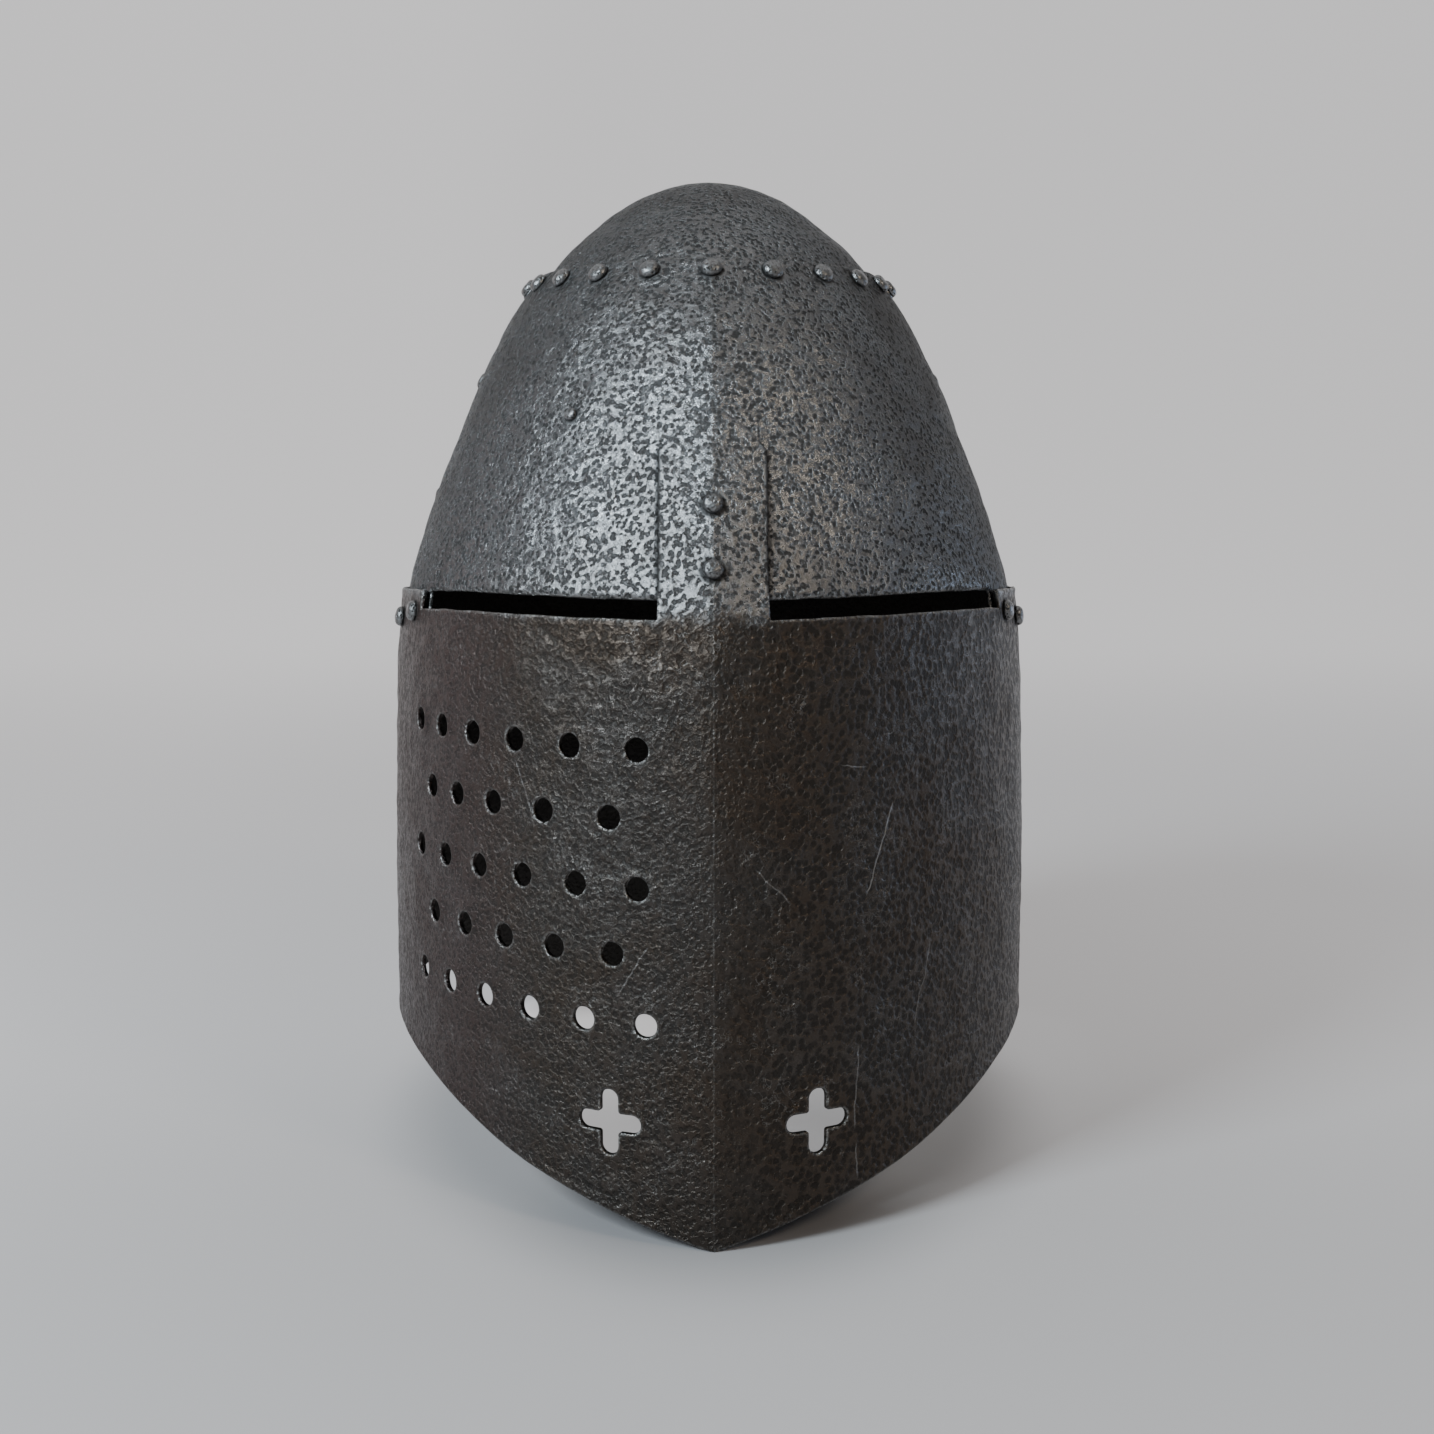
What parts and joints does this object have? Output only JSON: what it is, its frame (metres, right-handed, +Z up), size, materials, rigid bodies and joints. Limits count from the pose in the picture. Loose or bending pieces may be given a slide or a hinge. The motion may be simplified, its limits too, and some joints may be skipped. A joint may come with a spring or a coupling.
{
  "type": "great helm",
  "caption": "Pointed great helm of riveted steel plates with a keeled face, sights, rows of breathing holes, cross slots and a nasal strip.",
  "frame": {"origin": "on the floor at the centre of the helm's footprint box, below the crown", "axes": "+Z up to the point of the crown, -Y out of the face through the keel, +X to the wearer's left side"},
  "size_m": [0.242, 0.2982, 0.3413],
  "materials": {
    "upper_plates": "dark pitted steel, worn bright on the high spots",
    "lower_plates": "dark pitted steel with a brown patina",
    "rivets": "domed steel rivet heads, rubbed bright on top"
  },
  "bodies": {
    "root": {"crown_cap": "upper_plates", "brow_plate": "upper_plates", "back_skull_plate": "upper_plates", "face_plate": "lower_plates", "nape_plate": "lower_plates", "crown_rivet_01": "rivets", "crown_rivet_02": "rivets", "crown_rivet_03": "rivets", "crown_rivet_04": "rivets", "crown_rivet_05": "rivets", "crown_rivet_06": "rivets", "crown_rivet_07": "rivets", "crown_rivet_08": "rivets", "crown_rivet_09": "rivets", "crown_rivet_10": "rivets", "crown_rivet_11": "rivets", "crown_rivet_12": "rivets", "crown_rivet_13": "rivets", "crown_rivet_14": "rivets", "crown_rivet_15": "rivets", "crown_rivet_16": "rivets", "crown_rivet_17": "rivets", "crown_rivet_18": "rivets", "crown_rivet_19": "rivets", "crown_rivet_20": "rivets", "crown_rivet_21": "rivets", "crown_rivet_22": "rivets", "crown_rivet_23": "rivets", "crown_rivet_24": "rivets", "nasal_rivet_1": "rivets", "nasal_rivet_2": "rivets", "cheek_rivet_right_1": "rivets", "cheek_rivet_right_2": "rivets", "cheek_rivet_left_1": "rivets", "cheek_rivet_left_2": "rivets", "skull_seam_rivet_right_1": "rivets", "skull_seam_rivet_right_2": "rivets", "face_seam_rivet_right_1": "rivets", "face_seam_rivet_right_2": "rivets", "face_seam_rivet_right_3": "rivets", "skull_seam_rivet_left_1": "rivets", "skull_seam_rivet_left_2": "rivets", "face_seam_rivet_left_1": "rivets", "face_seam_rivet_left_2": "rivets", "face_seam_rivet_left_3": "rivets", "nape_rivet_1": "rivets", "nape_rivet_2": "rivets", "nape_rivet_3": "rivets", "nape_rivet_4": "rivets", "nape_rivet_5": "rivets", "plug_rivet": "rivets"}
  },
  "joints": []
}
